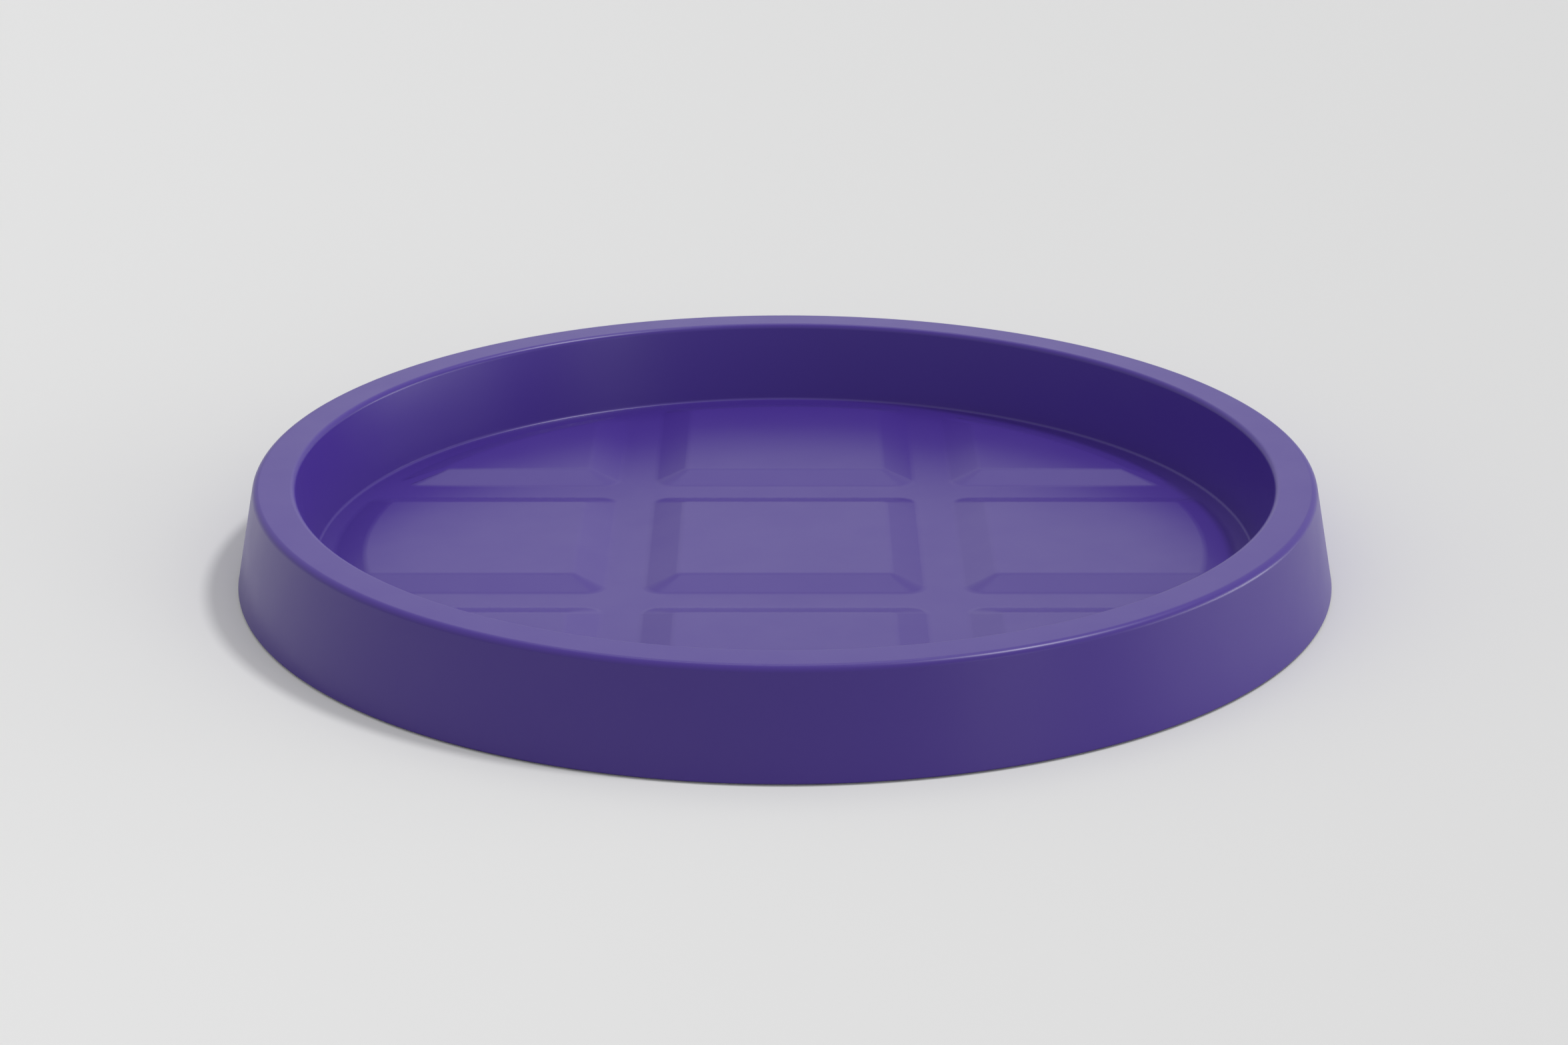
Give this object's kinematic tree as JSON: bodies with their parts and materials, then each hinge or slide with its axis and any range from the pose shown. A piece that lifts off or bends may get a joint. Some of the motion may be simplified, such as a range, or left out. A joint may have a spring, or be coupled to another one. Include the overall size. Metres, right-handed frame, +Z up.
{
  "type": "plant saucer",
  "caption": "Round plastic plant saucer with a broad flat rim, a sloping skirt and raised pads parted by drain channels, on soft press-in feet.",
  "frame": {"origin": "middle of the saucer's base, on the surface that its feet stand on", "axes": "+Z up, along the saucer's round axis; X and Y along the two directions of the pad grid"},
  "size_m": [0.3298, 0.3298, 0.0313],
  "materials": {
    "shell": "satin injection-moulded polypropylene, purple",
    "feet": "matt soft thermoplastic rubber, dark grey"
  },
  "bodies": {
    "root": {"saucer_shell": "shell", "foot_crossing_1": "feet", "foot_crossing_2": "feet", "foot_crossing_3": "feet", "foot_crossing_4": "feet", "foot_gutter_1": "feet", "foot_gutter_2": "feet", "foot_gutter_3": "feet", "foot_gutter_4": "feet", "foot_gutter_5": "feet", "foot_gutter_6": "feet", "foot_gutter_7": "feet", "foot_gutter_8": "feet"}
  },
  "joints": []
}
